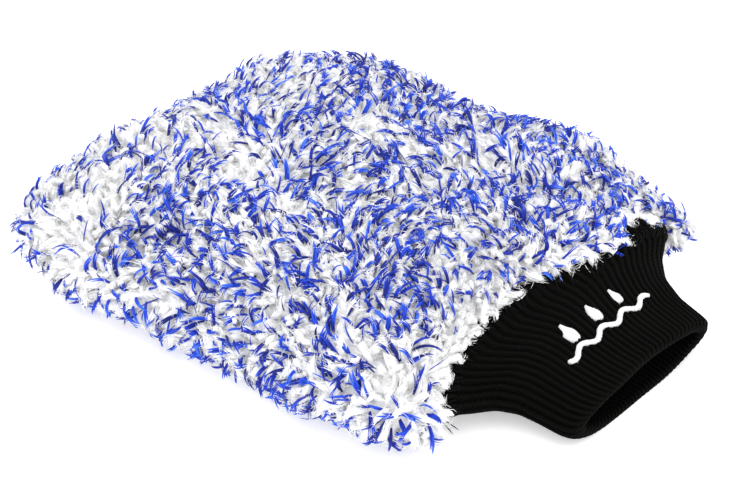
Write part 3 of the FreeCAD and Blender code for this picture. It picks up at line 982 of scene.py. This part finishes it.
def build_seam():
    """Overlock thread that sews the cuff in, seen at the pile's edge, with loose ends at its lower corner."""
    count = SEAM_STITCHES
    turn = np.linspace(0, 2 * math.pi, count, endpoint=False) + rng.normal(0, 0.012, count)
    y = cuff_point(np.full(count, 92.0), turn)[:, 1]
    x = np.interp(y, SEAM_LINE[:, 0], SEAM_LINE[:, 1]).clip(None, 96) + rng.normal(-1.6, 0.5, count)
    t = np.linspace(0, 1, 7)
    lean = rng.normal(0, 0.02, (count, 1))
    line_x = x[:, None] + 3.4 - STITCH_REACH * t
    most = np.where(np.sin(turn) > 0.3, 1.7, 0.8)
    lift = 0.1 + most[:, None] * np.sin(math.pi * t ** 0.7) ** 0.8
    paths = cuff_point(line_x, turn[:, None] + lean * (t - 0.5), -lift)
    piece = thread_piece("cuff_seam_thread", paths, SEAM_THREAD, sewing_thread())
    bend_piece(piece)
    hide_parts("cuff_attachment_stitches")
    tails = []
    for end in LOOSE_ENDS:
        first = np.array(LOOSE_START)
        middle = (first + end) / 2 + (0, 0.6, -0.6)
        s = t[:, None]
        tails.append(first * (1 - s) ** 2 + 2 * middle * s * (1 - s) + np.array(end) * s ** 2)
    piece = thread_piece("cuff_seam_loose_ends", np.array(tails), SEAM_THREAD, sewing_thread())
    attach(piece, "mitt")


# ---- embroidery

THREAD = 0.5
SLANT = 0.35
DROPLET_LIFTS = (0.75, 1.05)  # of two crossing layers
WAVE_LIFT = 0.95
DROPLET_RADII = (3.2, 2.8, 2.4)
DROPLET_PLACES = (-16.0, 0.0, 14.5)
DROPLET_POINT = 2.0
WAVE_CRESTS = 4
WAVE_STROKE = 2.2


def satin(starts, ends, lift):
    """Threads laid over the cuff from starts (n, 2) to ends (n, 2), both (x, y)."""
    t = np.linspace(0, 1, 9)
    flat = starts[:, None] * (1 - t)[:, None] + ends[:, None] * t[:, None]
    count = len(flat)
    top = cuff_top(flat[..., 0].ravel(), flat[..., 1].ravel()).reshape(count, -1)
    arch = np.sin(math.pi * t) ** 0.5
    height = top - 0.5 + (lift + 0.5) * arch + rng.normal(0, 0.04, (count, 1))
    return np.concatenate([flat, height[..., None]], -1)


def build_motif():
    """Three droplets over a wave in white satin stitch."""
    # The grey is the painted shade in the plies' grooves.
    material = thread_material("embroidery_thread_white", (0.72,) * 3, (0.88, 0.88, 0.87), 0.4, 0.2)
    middle_y = (WAVE_LOW[1] + WAVE_HIGH[1]) / 2
    centre_x = DROPS_HIGH[0] - DROPLET_RADII[0]
    paths = []
    for place, radius in zip(DROPLET_PLACES, DROPLET_RADII):
        along = np.arange(-DROPLET_POINT * radius, radius, THREAD * 0.62)
        touch = -radius / DROPLET_POINT
        slope = math.sqrt(radius ** 2 - touch ** 2) / (touch + DROPLET_POINT * radius)
        point = (along + DROPLET_POINT * radius) * slope
        half = np.where(along < touch, point, np.sqrt((radius ** 2 - along ** 2).clip(0)))
        along, half = along[half > 0.25], half[half > 0.25]
        half = half + rng.normal(0, 0.08, len(half))
        x, y = centre_x + along, middle_y + place
        for slant, lift in zip((SLANT, -SLANT), DROPLET_LIFTS):
            ends = (np.stack([x - slant, y - half], -1), np.stack([x + slant, y + half], -1))
            paths.append(satin(*ends, lift))
    drops = thread_piece("embroidered_droplets_satin", np.concatenate(paths), THREAD, material)
    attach(drops, "cuff")
    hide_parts("embroidered_droplets")

    length = WAVE_HIGH[1] - WAVE_LOW[1]
    amplitude = (WAVE_HIGH[0] - WAVE_LOW[0]) / 2 - WAVE_STROKE / 2
    u = np.arange(0.3, length - 0.2, THREAD * 0.58)
    angle = 2 * math.pi * WAVE_CRESTS * u / length
    x = (WAVE_LOW[0] + WAVE_HIGH[0]) / 2 + amplitude * np.sin(angle)
    slope = amplitude * np.cos(angle) * 2 * math.pi * WAVE_CRESTS / length
    across = unit(np.stack([np.ones_like(slope), -slope], -1))
    line = np.stack([x, WAVE_LOW[1] + u], -1)
    taper = np.minimum(1, np.sqrt(np.minimum(u, length - u) / 1.4))
    reach = across * (WAVE_STROKE / 2 * taper + rng.normal(0, 0.06, len(u)))[:, None]
    paths = satin(line - reach, line + reach, WAVE_LIFT)
    wave = thread_piece("embroidered_wave_satin", paths, THREAD, material)
    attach(wave, "cuff")
    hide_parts("embroidered_wave")


# ---- stage

CAMERA_AZIMUTH = 40.1
CAMERA_ELEVATION = 32.5
CAMERA_DISTANCE = 0.866
CAMERA_LENS = 100
CAMERA_TARGET = Vector((10.4, -12.0, 22.0)) * MM
FLOOR_HALF = 4000
SKY_STRENGTH = 1.53
LIGHTS = (  # name, place in metres, size, power
    ("key_light", (-0.25, 0.35, 1.1), 0.7, 0.45),
    ("fill_light", (0.9, -0.9, 0.7), 0.9, 0.75),
)


def build_stage():
    """Camera, white floor, white surroundings and two soft lights."""
    azimuth, elevation = math.radians(CAMERA_AZIMUTH), math.radians(CAMERA_ELEVATION)
    level = math.cos(elevation)
    back = Vector((math.sin(azimuth) * level, -math.cos(azimuth) * level, math.sin(elevation)))
    camera = new_object("camera", bpy.data.cameras.new("camera"))
    camera.data.lens = CAMERA_LENS
    camera.data.sensor_width = 36
    camera.data.clip_start = 0.01
    camera.location = CAMERA_TARGET + back * CAMERA_DISTANCE
    camera.rotation_mode = "QUATERNION"
    camera.rotation_quaternion = (-back).to_track_quat("-Z", "Y")
    bpy.context.scene.camera = camera

    floor = mesh_piece(
        "floor",
        np.array([(-1, -1, 0), (1, -1, 0), (1, 1, 0), (-1, 1, 0)], float) * FLOOR_HALF,
        np.array([[0, 1, 2, 3]]),
        [principled("floor_white", (0.9, 0.9, 0.9), 0.9, Emission_Color=(1, 1, 1, 1), Emission_Strength=0.4)],
        smooth=False,
    )

    world = bpy.data.worlds.new("studio")
    world.use_nodes = True
    background = world.node_tree.nodes["Background"].inputs
    background["Color"].default_value = (1, 1, 1, 1)
    background["Strength"].default_value = SKY_STRENGTH
    bpy.context.scene.world = world
    for name, place, size, power in LIGHTS:
        light = new_object(name, bpy.data.lights.new(name, "AREA"))
        light.data.size = size
        light.data.energy = power
        light.location = place
        light.rotation_mode = "QUATERNION"
        light.rotation_quaternion = (CAMERA_TARGET - light.location).to_track_quat("-Z", "Y")
    bpy.context.scene.view_settings.view_transform = "Standard"


build_stage()
envelope = pad_grid()
ground = envelope - grid_normals(envelope) * GROUND_DEPTH
ground_points, ground_quads, ground = puffed(ground)
build_ground(ground_points, ground_quads)
build_pocket()
build_cuff()
build_seam()
build_motif()
build_pile(ground + grid_normals(ground) * GROUND_DEPTH)
